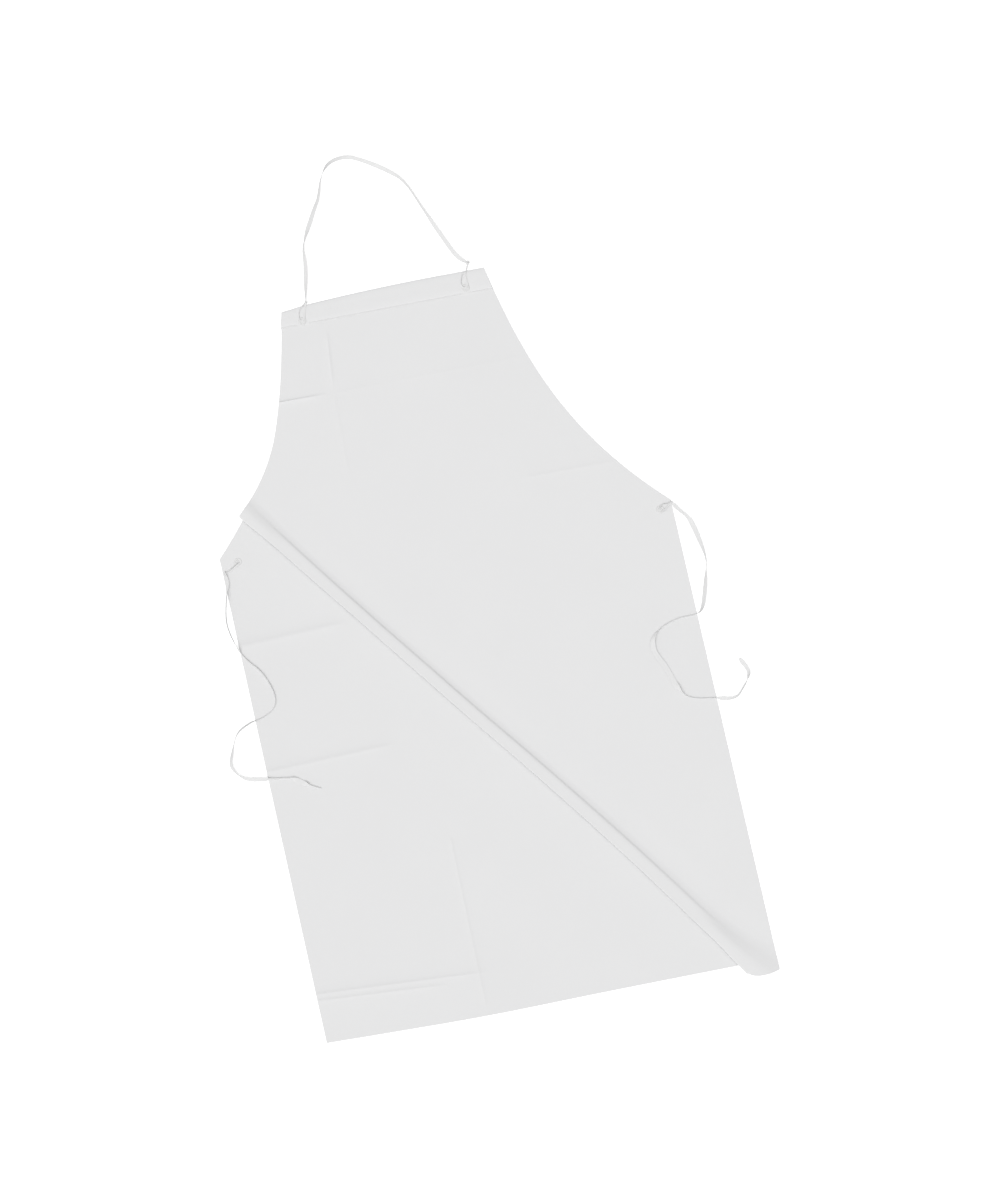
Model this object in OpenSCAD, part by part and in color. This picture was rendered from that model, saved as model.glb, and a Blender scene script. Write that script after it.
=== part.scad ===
// Butcher apron: a bib apron lying flat and face up, with one soft diagonal pleat.
// Millimetres. +Y points to the bib, +X to the right of someone looking at its face, +Z up.
// The origin is the middle of the waist line, on the underside of the sheet.

/* [Sheet] */
// Width of the sheet from the waist corners down to the hem
apron_w = 710; // [660:5:760]
// Width of the bib along its top edge
bib_w = 315; // [280:5:340]
// Depth of the armholes, from the top edge down to the waist corners
armhole_d = 410; // [390:5:440]
// Length of the straight sides below the waist corners
skirt_l = 763; // [740:5:800]
// Thickness of the cloth
sheet_t = 1; // [0.8:0.1:1.2]
// Distance from the top edge to the packing crease that the bib folds along
bib_crease_d = 140; // [120:5:160]

/* [Pleat] */
// Angle of the pleat below the horizontal, running down to the right
pleat_angle = 54.6; // [53:0.1:56]
// Distance from the origin to the front edge of the pleat, square to it
pleat_offset = 161; // [150:1:175]
// Width of the raised roll, from its front edge to the valley behind it
roll_w = 21; // [18:1:28]
// Height of the roll
roll_h = 5; // [4.5:0.5:7]
// Depth of the layer tucked back under the roll
tuck_w = 11; // [9:1:14]
// Sideways draw of the lower sheet under the pleat
draw_x = 28; // [20:1:34]
// Draw of the lower sheet towards the bib
draw_y = 57; // [48:1:62]

/* [Hem] */
// Depth of the turned hem along the top edge
hem_d = 33; // [28:1:38]
// Distance between one stitch and the next
stitch_pitch = 5; // [4:0.5:8]

/* [Eyelets] */
// Radius of the opening through an eyelet
eyelet_bore_r = 3; // [2.8:0.1:3.4]
// Radius of the front ring
eyelet_ring_r = 6.2; // [5.8:0.1:7.5]
// Height that the front ring stands above the cloth
eyelet_ring_t = 0.8; // [0.5:0.1:1]

/* [Tape] */
// Width of the woven tape
tape_w = 8; // [6:0.5:9]
// Thickness of the woven tape
tape_t = 1; // [0.6:0.1:1.2]
// Outer radius of a knot
knot_r = 3.6; // [3.2:0.1:4]

/* [Hidden] */
$fn = 48;

cloth_colour = [0.93, 0.93, 0.93];
tape_colour = [0.97, 0.97, 0.96];
ring_colour = [0.9, 0.9, 0.9];

// The sheet's outline.
half_w = apron_w / 2;
bib_half = bib_w / 2;
crease_y = armhole_d - bib_crease_d;
crease_gap = 1.2;
// The armhole is a Bezier curve: how far its two handles reach, and their slant from the vertical.
armhole_reach = [166, 176];
armhole_slant = [10.5, 45];
armhole_steps = 24;
// Near the pleat the left armhole spreads outwards, over this height above the pleat.
spread_h = 130;
spread_x = 30;
// The packing folds draw the lower left corner up by this much.
corner_lift = 24;
// The pleat droops in a small round lobe at the hem, beside the lower right corner.
lobe_r = 26;

// Layers of the pleat.
layer_gap = 0.4;
layer_pitch = sheet_t + layer_gap;

// Eyelets and washers.
barrel_r = eyelet_bore_r + 0.5;
cloth_hole_r = barrel_r + 0.1;
washer_t = 0.4;
bib_top = 2 * sheet_t;

// Tapes lie just clear of the cloth.
tape_z = sheet_t + 0.6;
knot_clearance = 0.2;
knot_gap = 0.3;
anchor_w = 4;

// Places of the eyelets and the knots.
bib_eyelet_at = [[-bib_half + 28, armhole_d - 23], [bib_half - 34, armhole_d - 26]];
neck_knot_at = [[-bib_half + 39.5, armhole_d + 4.5], [bib_half - 23, armhole_d + 11.5]];
lower_left_corner = [-half_w + draw_x, draw_y];
waist_eyelet_at = [lower_left_corner + [26, -10], [half_w - 19, -12]];
waist_knot_at = [lower_left_corner + [4, -23], [half_w, -5]];

// Way points of the three tapes, each from its knot outwards.
neck_path = [
    neck_knot_at[0], [-110, 452], [-106, 474], [-102, 503], [-78, 548], [-66, 568], [-54, 600],
    [-38, 618], [-12, 622], [13, 611], [47, 587], [68, 564], [86, 520], [102, 479], [120, 437],
    neck_knot_at[1]
];
left_tie_path = [
    for (p = [[0, 0], [1, -13], [-5, -34], [-13, -72], [-9, -103], [2, -131], [23, -160], [34, -193],
        [30, -213], [12, -224], [-10, -229], [-32, -241], [-45, -267], [-50, -288], [-35, -308],
        [0, -317], [30, -322], [54, -337], [73, -347]]) waist_knot_at[0] + p
];
right_tie_path = [
    for (p = [[0, 0], [8, -13], [21, -32], [28, -65], [31, -92], [27, -113], [19, -141], [9, -166],
        [-2, -173], [-29, -174], [-53, -180], [-72, -194], [-75, -215], [-64, -241], [-52, -278],
        [-37, -294], [-5, -302], [25, -308], [41, -297], [55, -276], [46, -252]]) waist_knot_at[1] + p
];

// A cubic Bezier curve through a and d, with handles b and c.
function bezier(a, b, c, d, n) = [
    for (i = [0:n]) let (t = i / n, s = 1 - t)
        a * s * s * s + b * 3 * s * s * t + c * 3 * s * t * t + d * t * t * t
];

// The right armhole, from the bib's corner to the waist corner.
right_armhole = let (a = [bib_half, armhole_d], d = [half_w, 0])
    bezier(a, a + armhole_reach[0] * [sin(armhole_slant[0]), -cos(armhole_slant[0])],
        d - armhole_reach[1] * [sin(armhole_slant[1]), -cos(armhole_slant[1])], d, armhole_steps);

// Unit vectors along the pleat and square to it, and a point's distance behind the front edge.
along = [cos(pleat_angle), -sin(pleat_angle)];
behind = [sin(pleat_angle), cos(pleat_angle)];
function behind_edge(p) = p * behind + pleat_offset;

// The left armhole mirrors the right one, but spreads towards the pleat.
function spread(d) = let (u = max(0, min(1, 1 - d / spread_h))) spread_x * u * u;
left_armhole_upper = [
    for (p = right_armhole) let (q = [-p.x, p.y], s = spread(behind_edge(q)), r = q - [s, 0])
        if (behind_edge(r) > 0) r
];
left_armhole_lower = [
    for (p = right_armhole) let (q = [-p.x + draw_x, p.y + draw_y])
        if (behind_edge(q) < -8) q
];

hem_y = draw_y - skirt_l;
hem_right_x = (-pleat_offset - (hem_y + 4) * behind.y) / behind.x;
lobe = [
    for (a = [200:20:300]) [hem_right_x + lobe_r + 2, hem_y + 4] + lobe_r * [cos(a), 0.85 * sin(a)]
];

outline = concat(
    left_armhole_upper,
    [last(left_armhole_upper) - [2, 10]],
    left_armhole_lower,
    [lower_left_corner + [6, corner_lift - skirt_l], [-80, hem_y + 12], [hem_right_x, hem_y + 4]],
    lobe,
    [[half_w, hem_y - 14]],
    [for (i = [armhole_steps:-1:0]) right_armhole[i]]
);

function last(list) = list[len(list) - 1];
function unit(v) = v / norm(v);

// The outline of a strip of width w about a line of points, with mitred corners.
function turn(a, b) = let (m = unit(unit(a) + unit(b)), n = [-m.y, m.x]) n / max(0.3, m * unit(b));
function strip(pts, w) = let (
    k = len(pts) - 1,
    sides = [for (i = [0:k]) turn(pts[max(i, 1)] - pts[max(i, 1) - 1],
        pts[min(i, k - 1) + 1] - pts[min(i, k - 1)])]
) concat([for (i = [0:k]) pts[i] + sides[i] * w / 2], [for (i = [k:-1:0]) pts[i] - sides[i] * w / 2]);

// A smooth line through way points, with n steps in each span.
function spline(p, n) = let (k = len(p) - 1) concat([
    for (i = [0:k - 1], j = [0:n - 1])
        let (a = p[max(i - 1, 0)], b = p[i], c = p[i + 1], d = p[min(i + 2, k)], t = j / n)
            b + (c - a) * t / 2 + (a * 2 - b * 5 + c * 4 - d) * t * t / 2
                + (b * 3 - a - c * 3 + d) * t * t * t / 2
], [p[k]]);

// The cloth's path across the pleat: lower sheet, tucked layer, roll, valley, upper sheet.
far = 1300;
fold_r = layer_pitch / 2;
front_r = sheet_t / 2 + fold_r;
section = concat(
    [[-far, sheet_t / 2]],
    [for (a = [-90:30:90]) [tuck_w, layer_pitch - layer_gap / 2] + fold_r * [cos(a), sin(a)]],
    [for (a = [270:-30:90]) [front_r, 2 * layer_pitch - layer_gap / 2] + fold_r * [cos(a), sin(a)]],
    bezier([front_r + 2, 2.5 * layer_pitch], [roll_w * 0.3, roll_h * 1.1], [roll_w * 0.75, roll_h * 1.45],
        [roll_w, sheet_t / 2], 12),
    [[far, sheet_t / 2]]
);

// A prism over the sheet's outline.
module outline_prism(z0, z1) translate([0, 0, z0]) linear_extrude(z1 - z0) polygon(outline);

// The part of its children between two heights up the apron.
module between_y(y0, y1) intersection() {
    children();
    translate([-far, y0, -far]) cube([2 * far, y1 - y0, 2 * far]);
}

// An eyelet's hole in the cloth, with the seat for its washer.
module eyelet_holes(places) for (p = places) translate([p.x, p.y, -1]) {
    cylinder(r = cloth_hole_r, h = bib_top + 2);
    cylinder(r = eyelet_ring_r + 0.2, h = 1 + washer_t);
}

module skirt_panel() color(cloth_colour) difference() {
    between_y(-far, crease_y - crease_gap / 2) intersection() {
        rotate([0, 0, 90 - pleat_angle]) translate([-pleat_offset, 0, 0]) rotate([90, 0, 0])
            linear_extrude(2 * far, center = true) polygon(strip(section, sheet_t));
        outline_prism(-1, roll_h + 5);
    }
    eyelet_holes(waist_eyelet_at);
}

module bib_panel() color(cloth_colour) difference() {
    between_y(crease_y + crease_gap / 2, far) outline_prism(0, sheet_t);
    eyelet_holes(bib_eyelet_at);
}

// The hem is the sheet's edge turned down on the face.
module top_hem() color(cloth_colour) difference() {
    between_y(armhole_d - hem_d, far) outline_prism(sheet_t, bib_top);
    eyelet_holes(bib_eyelet_at);
}

// One row of stitches just inside the hem's lower edge, which stops short of the eyelets.
module hem_stitching() color(tape_colour) {
    count = floor((bib_w - 8) / stitch_pitch);
    for (i = [0:count]) {
        at = [(i - count / 2) * stitch_pitch, armhole_d - hem_d + 2];
        if (min([for (e = bib_eyelet_at) norm(at - e)]) > eyelet_ring_r + stitch_pitch / 2)
            translate([at.x, at.y, bib_top + 0.2]) cube([stitch_pitch * 0.7, 0.6, 0.4], center = true);
    }
}

// A ring with a barrel that goes down through the cloth, whose top is at z.
module eyelet(at, z) color(ring_colour) translate([at.x, at.y, 0]) rotate_extrude() polygon([
    [eyelet_bore_r, 0], [barrel_r, 0], [barrel_r, z], [eyelet_ring_r, z],
    [eyelet_ring_r, z + eyelet_ring_t * 0.4], [eyelet_ring_r - 0.6, z + eyelet_ring_t],
    [barrel_r, z + eyelet_ring_t], [eyelet_bore_r, z + eyelet_ring_t * 0.6]
]);

module washer(at) color(ring_colour) translate([at.x, at.y, 0]) difference() {
    cylinder(r = eyelet_ring_r, h = washer_t);
    translate([0, 0, -1]) cylinder(r = cloth_hole_r, h = washer_t + 2);
}

// The end of a tape: up through the eyelet, then across its ring to the knot.
module anchor(eyelet_at, knot_at, z) color(tape_colour) {
    reach = norm(knot_at - eyelet_at) - knot_r - knot_gap;
    leg_z = z + eyelet_ring_t + 0.2;
    translate([eyelet_at.x, eyelet_at.y, 0]) {
        cylinder(r = eyelet_bore_r - 0.6, h = leg_z + tape_t);
        rotate([0, 0, atan2(knot_at.y - eyelet_at.y, knot_at.x - eyelet_at.x)])
            translate([0, -anchor_w / 2, leg_z]) cube([reach, anchor_w, tape_t]);
    }
}

// Two turns of tape about a core, wound about the line of the tape, on a surface at height z.
module knot(at, z, angle) color(tape_colour)
    translate([at.x, at.y, z + knot_r + knot_clearance]) rotate([0, 0, angle]) rotate([0, 90, 0]) {
        turn_r = 1.25;
        for (s = [-1, 1]) translate([0, 0, s * turn_r * 0.8])
            rotate_extrude() translate([knot_r - 0.4 - turn_r, 0]) circle(turn_r);
        sphere(knot_r - 1);
    }

// A tape laid flat along a path, without the ends that its knots take up.
module tape(path, knots) color(tape_colour) {
    free = [for (p = spline(path, 4)) if (min([for (k = knots) norm(p - k)]) > knot_r + knot_gap) p];
    translate([0, 0, tape_z]) linear_extrude(tape_t) polygon(strip(free, tape_w));
}

skirt_panel();
bib_panel();
top_hem();
hem_stitching();
eyelet(bib_eyelet_at[0], bib_top);  // bib_eyelet_left
eyelet(bib_eyelet_at[1], bib_top);  // bib_eyelet_right
eyelet(waist_eyelet_at[0], sheet_t);  // waist_eyelet_left
eyelet(waist_eyelet_at[1], sheet_t);  // waist_eyelet_right
washer(bib_eyelet_at[0]);  // bib_washer_left
washer(bib_eyelet_at[1]);  // bib_washer_right
washer(waist_eyelet_at[0]);  // waist_washer_left
washer(waist_eyelet_at[1]);  // waist_washer_right
anchor(bib_eyelet_at[0], neck_knot_at[0], bib_top);  // neck_anchor_left
anchor(bib_eyelet_at[1], neck_knot_at[1], bib_top);  // neck_anchor_right
knot(neck_knot_at[0], 0, 78);  // neck_knot_left
knot(neck_knot_at[1], 0, 133);  // neck_knot_right
tape(neck_path, neck_knot_at);  // neck_tape
anchor(waist_eyelet_at[0], waist_knot_at[0], sheet_t);  // waist_anchor_left
anchor(waist_eyelet_at[1], waist_knot_at[1], sheet_t);  // waist_anchor_right
knot(waist_knot_at[0], sheet_t, 94);  // waist_knot_left
knot(waist_knot_at[1], sheet_t, 122);  // waist_knot_right
tape(left_tie_path, [waist_knot_at[0]]);  // waist_tie_left
tape(right_tie_path, [waist_knot_at[1]]);  // waist_tie_right
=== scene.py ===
"""Butcher apron: the looks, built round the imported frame. Metres, in the frame's own axes.

The sheet is drawn on flat cloth, in (t, q): t runs along the pleat, downwards to the right, and q is the
cloth's length across it from the pleat's front edge. sheet_surface lays this cloth out in the frame.
"""

import math

import bmesh
import bpy
import numpy as np
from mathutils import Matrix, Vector
from mathutils.geometry import delaunay_2d_cdt
from mathutils.kdtree import KDTree


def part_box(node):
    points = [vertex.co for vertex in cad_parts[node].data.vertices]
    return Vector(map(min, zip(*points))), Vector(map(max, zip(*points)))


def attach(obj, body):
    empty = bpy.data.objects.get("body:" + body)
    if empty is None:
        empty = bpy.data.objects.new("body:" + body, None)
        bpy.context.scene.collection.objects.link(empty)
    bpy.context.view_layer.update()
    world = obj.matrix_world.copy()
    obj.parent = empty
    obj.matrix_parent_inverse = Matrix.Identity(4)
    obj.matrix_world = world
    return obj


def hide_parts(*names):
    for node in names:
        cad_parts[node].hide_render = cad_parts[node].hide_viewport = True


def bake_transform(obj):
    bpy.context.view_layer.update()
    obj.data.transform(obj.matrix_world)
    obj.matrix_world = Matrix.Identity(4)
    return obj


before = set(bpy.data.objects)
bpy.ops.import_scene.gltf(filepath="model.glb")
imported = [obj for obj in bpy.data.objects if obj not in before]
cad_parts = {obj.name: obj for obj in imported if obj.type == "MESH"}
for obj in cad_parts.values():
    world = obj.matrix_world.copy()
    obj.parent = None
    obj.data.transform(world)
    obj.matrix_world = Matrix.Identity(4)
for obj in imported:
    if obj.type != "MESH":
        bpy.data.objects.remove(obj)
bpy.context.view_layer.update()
MM = 0.001

# The sheet's cut. Its upper right half is the upper layer of the pleat, and its lower left half the lower.
BIB_LO, BIB_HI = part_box("bib_panel")
SKIRT_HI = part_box("skirt_panel")[1]
TOP_Y = BIB_HI.y
FOLD_Y = (BIB_LO.y + SKIRT_HI.y) / 2
HALF_W = SKIRT_HI.x
BIB_HALF = 157.5 * MM
SKIRT_L = 763 * MM
HEM_D = 33 * MM
CLOTH_T = 0.8 * MM
SHEET_Z = 0.6 * MM
# The cloth's mesh has a point this often, and its edge and creases this often.
CELL, EDGE_STEP = 5 * MM, 4 * MM
# The mesh reaches this far along the pleat and across it, past the sheet's corners.
T_REACH, Q_REACH = (-0.44, 0.81), (-0.6, 0.62)
# An armhole is one Bezier curve: how far its handles reach, and how they lean from the vertical.
ARMHOLE_REACH = (166 * MM, 176 * MM)
ARMHOLE_SLANT = (math.radians(10.5), math.radians(45))
ARMHOLE_STEPS = 90
# The pleat draws the lower layer in, and the left armhole spreads to the left near it.
DRAW = (28 * MM, 57 * MM)
SPREAD_H, SPREAD_X = 130 * MM, 30 * MM
# The bottom edge, from its left corner: how far the corner stands in and up, and then places along the edge
# and how far each is above its lowest line, in mm. The lobe is the open lower end of the pleat.
CORNER_IN, CORNER_LIFT = 6 * MM, 24 * MM
BOTTOM = ((-230, 19), (-80, 12), (100, 8.5))
BOTTOM_RIGHT = 4 * MM
LOBE = ((303.5, -711.5), (311.5, -719.5), (323.5, -723.5), (341, -723.5))
CORNER_Y = -720.5 * MM  # of the sheet's lower right corner
EYELETS = ("bib_eyelet_left", "bib_eyelet_right", "waist_eyelet_left", "waist_eyelet_right")
HOLE_R = 3.6 * MM

# The pleat: its direction, and the distance of its front edge from the origin.
PLEAT_ANGLE = math.radians(54.6)
PLEAT_OFFSET = 161 * MM
ALONG = np.array((math.cos(PLEAT_ANGLE), -math.sin(PLEAT_ANGLE)))
BEHIND = np.array((math.sin(PLEAT_ANGLE), math.cos(PLEAT_ANGLE)))
# Across the pleat, each row is cloth length from the front edge, distance behind it, and height, in mm;
# the roll's rows end with its height where the pleat opens out, at its two ends.
TUCK_ROWS = (
    (-24, 0, 0.6), (-18, 6, 0.6), (-14, 10, 0.6), (-12.9, 11, 0.62), (-12.2, 11.45, 1.05), (-11.5, 11, 1.48),
    (-10, 9.6, 1.5), (-5, 4.6, 1.5), (-3, 2.6, 1.5), (-1.4, 0.9, 1.6), (-0.7, 0.25, 1.95), (0, 0, 2.4),
)
ROLL_ROWS = (
    (0, 0, 2.4, 2.4), (0.8, -0.75, 2.85, 3), (1.3, -1.1, 3.35, 3.9), (1.75, -1.2, 3.95, 4.9),
    (2.25, -1.08, 4.42, 5.75), (3.3, -0.1, 4.56, 6.05), (5.6, 2.4, 4.42, 6.1), (10.6, 8, 4.27, 6.1),
    (14.6, 12, 4.2, 5.5), (16.7, 14, 4.12, 4.85), (18.8, 16, 3.95, 4.15), (21, 18, 3.58, 3.5),
    (23.4, 20, 2.36, 2.75), (25.7, 22, 1.7, 2.1), (27.8, 24, 1.3, 1.6), (29.9, 26, 1.0, 1.22),
    (32, 28, 0.78, 0.92), (34, 30.2, 0.64, 0.7),
)
TUCK_Q, ROLL_Q = -24 * MM, 34 * MM
TUCK_TURN = -12.2 * MM
ROLL_W, ROLL_H, FRONT_Z = 20 * MM, 4.27 * MM, 2.4 * MM
# Along the pleat, from its upper left end, in mm: how far its front edge bows back, and the roll's width
# and height.
FRONT = (
    (-262, -4.6), (-235, -3.6), (-180, -1.4), (-100, -0.6), (0, 0.9), (100, 1.9), (200, 3.2), (300, 5.6),
    (400, 6.8), (500, 6.7), (600, 4.6), (650, 2.8), (700, 1.6), (745, -2), (800, -4.6),
)
ROLL_WIDTH = (
    (-262, 24), (-235, 22), (-180, 19), (-100, 17.7), (0, 16.6), (100, 17.1), (300, 17.7), (500, 19.1),
    (650, 21.1), (700, 24), (730, 28.5), (755, 34.5), (800, 43.5),
)
ROLL_HEIGHT = (
    (-262, 3.8), (-180, 4.4), (-50, 4.6), (300, 4.65), (500, 4.65), (600, 4.4), (700, 4), (800, 3.6),
)
# Where the pleat opens out towards its lower and its upper end, and how fast, along it.
LOWER_OPENING, LOWER_FADE = 630 * MM, 70 * MM
UPPER_OPENING, UPPER_FADE, UPPER_SHARE = -170 * MM, 60 * MM, 0.8
# The lower layer swells in front of the pleat, by a broad and a narrow bulge: height and half width in mm.
SWELLS = ((0.7, 60), (0.45, 22))
SWELL_DIP = 4.2 * MM

# How far the top edge lies beyond a straight line, along it, in mm.
TOP_DROOP = ((-158, -2.6), (-140, -1), (-118, 1), (-60, 2.4), (0, 2.8), (60, 2.2), (110, 0.8), (158, -0.6))
# Packing creases: ends in mm, height and half width of the ridge, and the same for the broad fold under it.
CREASES = (
    ((-95, 376), (-106, 267), 0.9, 1.6, 0.4, 8), ((-106, 267), (-110, 120), 0.22, 2, 0.3, 8),
    ((-200, 272), (-108, 269), 1.5, 1.6, 0.6, 8), ((-108, 269), (205, 262), 0.08, 2, 0.2, 9),
    ((150, 80), (300, 75), 0.3, 2, 0.3, 8), ((-330, -79), (-150, -77), 0.6, 3.5, 1.1, 12),
    ((-330, -272), (-120, -271), 0.6, 2.6, 0.9, 11), ((-330, -608), (-62, -631), 0.6, 1.8, 0.7, 11),
    ((-330, -618), (-120, -637), 0.6, 1.8, 0.7, 11), ((-78, -425), (-80, -700), 0.45, 1.6, 0.3, 8),
)
# A crease is steeper on one side: how its width is scaled on its left and on its right.
STEEP, GENTLE = 0.65, 1.5
# The slight unevenness of flat cloth: waves with radians per metre in x and in y, phase, and share.
WAVE_H = 0.22 * MM
WAVES = ((9.1, 4.3, 0.7, 1), (-6.2, 8.4, 2.1, 1), (17, -13, 4, 0.6), (29, 23, 0, 0.4))


def smooth(x):
    """0 below 0, 1 above 1, and a smooth step between."""
    x = np.clip(x, 0, 1)
    return x * x * (3 - 2 * x)


def bell(distance, width):
    return np.exp(-((distance / width) ** 2))


def spline(points, samples):
    """A smooth line through points, with that many samples in each span."""
    p = np.array(points, float)
    p = np.vstack((2 * p[0] - p[1], p, 2 * p[-1] - p[-2]))
    t = np.linspace(0, 1, samples, endpoint=False)[:, None]
    out = []
    for a, b, c, d in zip(p, p[1:], p[2:], p[3:]):
        square, cube = 2 * a - 5 * b + 4 * c - d, 3 * b - a - 3 * c + d
        out.append(b + (c - a) * t / 2 + square * t**2 / 2 + cube * t**3 / 2)
    return np.vstack(out + [p[-2:-1]])


def table(rows):
    """A smooth function of one length, from rows in mm: it returns the rows' other columns, in metres."""
    r = spline(rows, 12) * MM
    return lambda x: [np.interp(x, r[:, 0], r[:, k]) for k in range(1, r.shape[1])]


tuck_at, roll_at = table(TUCK_ROWS), table(ROLL_ROWS)
roll_width, roll_height, front = table(ROLL_WIDTH), table(ROLL_HEIGHT), table(FRONT)


def behind_edge(xy):
    """How far points of the plan lie behind the pleat's front edge."""
    return xy @ BEHIND + PLEAT_OFFSET - front(xy @ ALONG)[0]


def pleat_point(t, q):
    """Place square to the pleat, and height, of the cloth at t along the pleat and length q across it."""
    width, height = roll_width(t)[0], roll_height(t)[0]
    # The lower layer swells a little towards the pleat, then dips under its front edge.
    lower_p = q - TUCK_Q
    dip = np.where(lower_p < 0, smooth(-lower_p / SWELL_DIP), 0)
    lower_z = SHEET_Z + dip * MM * sum(rise * bell(lower_p / MM, half) for rise, half in SWELLS)
    tuck_p, tuck_z = tuck_at(q)
    # The roll is as wide and high as the tables say, and opens out at both ends.
    roll_p, roll_z, open_z = roll_at(np.clip(q, 0, ROLL_Q))
    stretch = np.where(roll_z > FRONT_Z, (height - FRONT_Z) / (ROLL_H - FRONT_Z), 1)
    roll_z = FRONT_Z + (roll_z - FRONT_Z) * stretch
    opening = smooth((t - LOWER_OPENING) / LOWER_FADE)
    opening = opening + UPPER_SHARE * smooth((UPPER_OPENING - t) / UPPER_FADE)
    roll_z = roll_z + (open_z - roll_z) * opening
    # Behind the roll, the upper layer lies flat.
    past = q - ROLL_Q
    roll_p = roll_p * width / ROLL_W + np.maximum(past, 0)
    under, over = (q > TUCK_Q) & (q <= 0), q > 0
    p = np.where(under, tuck_p, np.where(over, roll_p, lower_p))
    z = np.where(under, tuck_z, np.where(over, roll_z, lower_z))
    return p + front(t)[0] - PLEAT_OFFSET, z


def upper_q(t, p):
    """Cloth length of a point on the upper sheet that lies p behind the front edge."""
    q = np.linspace(0, ROLL_Q, 200)
    place = np.maximum.accumulate(roll_at(q)[0]) * roll_width(t)[0] / ROLL_W
    return np.where(p > place[-1], ROLL_Q + p - place[-1], np.interp(p, place, q))


def to_cloth(xy, upper):
    """Plan points as (t, q) on the cloth, for the upper or the lower layer."""
    xy = np.array(xy, float).reshape(-1, 2)
    t, p = xy @ ALONG, behind_edge(xy)
    q = np.array([upper_q(a, b) for a, b in zip(t, p)]) if upper else p + TUCK_Q
    return np.column_stack((t, q))


# Outlines.

def bezier(a, b, c, d, n):
    """Points at n even steps along a cubic Bezier curve."""
    s = np.linspace(0, 1, n + 1)[:, None]
    return a * (1 - s) ** 3 + 3 * b * s * (1 - s) ** 2 + 3 * c * s**2 * (1 - s) + d * s**3


def right_armhole():
    a, d = np.array((BIB_HALF, TOP_Y)), np.array((HALF_W, 0))
    lean = [np.array((math.sin(s), -math.cos(s))) for s in ARMHOLE_SLANT]
    return bezier(a, a + ARMHOLE_REACH[0] * lean[0], d - ARMHOLE_REACH[1] * lean[1], d, ARMHOLE_STEPS)


def left_armhole():
    """The part on the upper layer, down to just behind the pleat's front edge, and the part on the lower."""
    upper, lower = [], []
    for x, y in right_armhole():
        point = np.array((-x, y))
        near = np.clip(1 - behind_edge(point) / SPREAD_H, 0, 1)
        point = point - (SPREAD_X * near * near, 0)
        if behind_edge(point) > 0.5 * MM:
            upper.append(point)
        point = np.array((-x + DRAW[0], y + DRAW[1]))
        if behind_edge(point) < -1.5 * MM:
            lower.append(point)
    return upper, lower


def densify(points, step):
    """The line with points no farther apart than step."""
    pts = [np.array(p, float) for p in points]
    out = []
    for a, b in zip(pts, pts[1:]):
        n = max(1, math.ceil(np.linalg.norm(b - a) / step))
        out += [a + (b - a) * i / n for i in range(n)]
    return out + [pts[-1]]


def sheet_outline():
    """The edge of the sheet on the cloth, as (t, q), all round, anticlockwise from the bib's left corner."""
    upper, lower = left_armhole()
    low = DRAW[1] - SKIRT_L
    corner = np.array((-HALF_W + DRAW[0] + CORNER_IN, DRAW[1] + CORNER_LIFT - SKIRT_L))
    # The bottom edge of the lower layer ends a little in front of the pleat.
    end_y = low + BOTTOM_RIGHT
    end = ((-PLEAT_OFFSET - 4.5 * MM - end_y * BEHIND[1]) / BEHIND[0], end_y)
    bottom = spline([corner, *((x * MM, low + up * MM) for x, up in BOTTOM), end], 20)
    lobe = spline([end, *((x * MM, y * MM) for x, y in LOBE), (HALF_W, CORNER_Y)], 6)[1:]
    right_side = [(HALF_W, y) for y in np.linspace(CORNER_Y, 0, 150)][1:-1]
    left_side = densify([lower[-1], corner], EDGE_STEP)[1:-1]
    top = densify([(BIB_HALF, TOP_Y), (-BIB_HALF, TOP_Y)], EDGE_STEP)[1:-1]
    upper, lower, bottom, lobe = (to_cloth(line, on_upper) for line, on_upper in (
        (upper, True), (lower, False), (bottom, False), (lobe, True)))
    # The raw ends of the pleat, round its inner turn.
    t = upper[-1][0]
    left_end = [upper[-1], (t + 1 * MM, 0), (t + 3 * MM, TUCK_TURN), lower[0]]
    t = bottom[-1][0]
    right_end = [bottom[-1], (t + 8 * MM, TUCK_TURN), (t + 3 * MM, -2 * MM), lobe[0]]
    return np.vstack((
        upper, densify(left_end, EDGE_STEP)[1:-1], lower, to_cloth(left_side, False), bottom,
        densify(right_end, EDGE_STEP)[1:-1], lobe, to_cloth(right_side, True),
        to_cloth(right_armhole()[::-1], True), to_cloth(top, True),
    ))


def inside(points, loop):
    """Which points lie inside a closed loop."""
    x, y = points[:, 0], points[:, 1]
    hit = np.zeros(len(points), bool)
    for (x0, y0), (x1, y1) in zip(loop, np.roll(loop, -1, axis=0)):
        if y0 != y1:
            crosses = (y0 > y) != (y1 > y)
            hit ^= crosses & (x < (x1 - x0) * (y - y0) / (y1 - y0) + x0)
    return hit


def centre(node):
    lo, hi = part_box(node)
    return (lo + hi) / 2


def hole_ring(eyelet, n=20):
    """Points round the hole in the cloth for an eyelet."""
    c = centre(eyelet)
    turns = [2 * math.pi * i / n for i in range(n)]
    return [(c.x + HOLE_R * math.cos(a), c.y + HOLE_R * math.sin(a)) for a in turns]


def calm_at_eyelets(x, y, margin, fade):
    """0 within a margin of the middle of each eyelet, and 1 farther out than a fade beyond it."""
    calm = np.ones_like(x)
    for name in EYELETS:
        c = centre(name)
        calm = calm * smooth((np.hypot(x - c.x, y - c.y) - margin) / fade)
    return calm


# Cloth meshes.

def lattice(ts, qs):
    """Every pair of a t and a q, as rows."""
    a, b = np.meshgrid(ts, qs)
    return np.column_stack((a.ravel(), b.ravel()))


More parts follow.
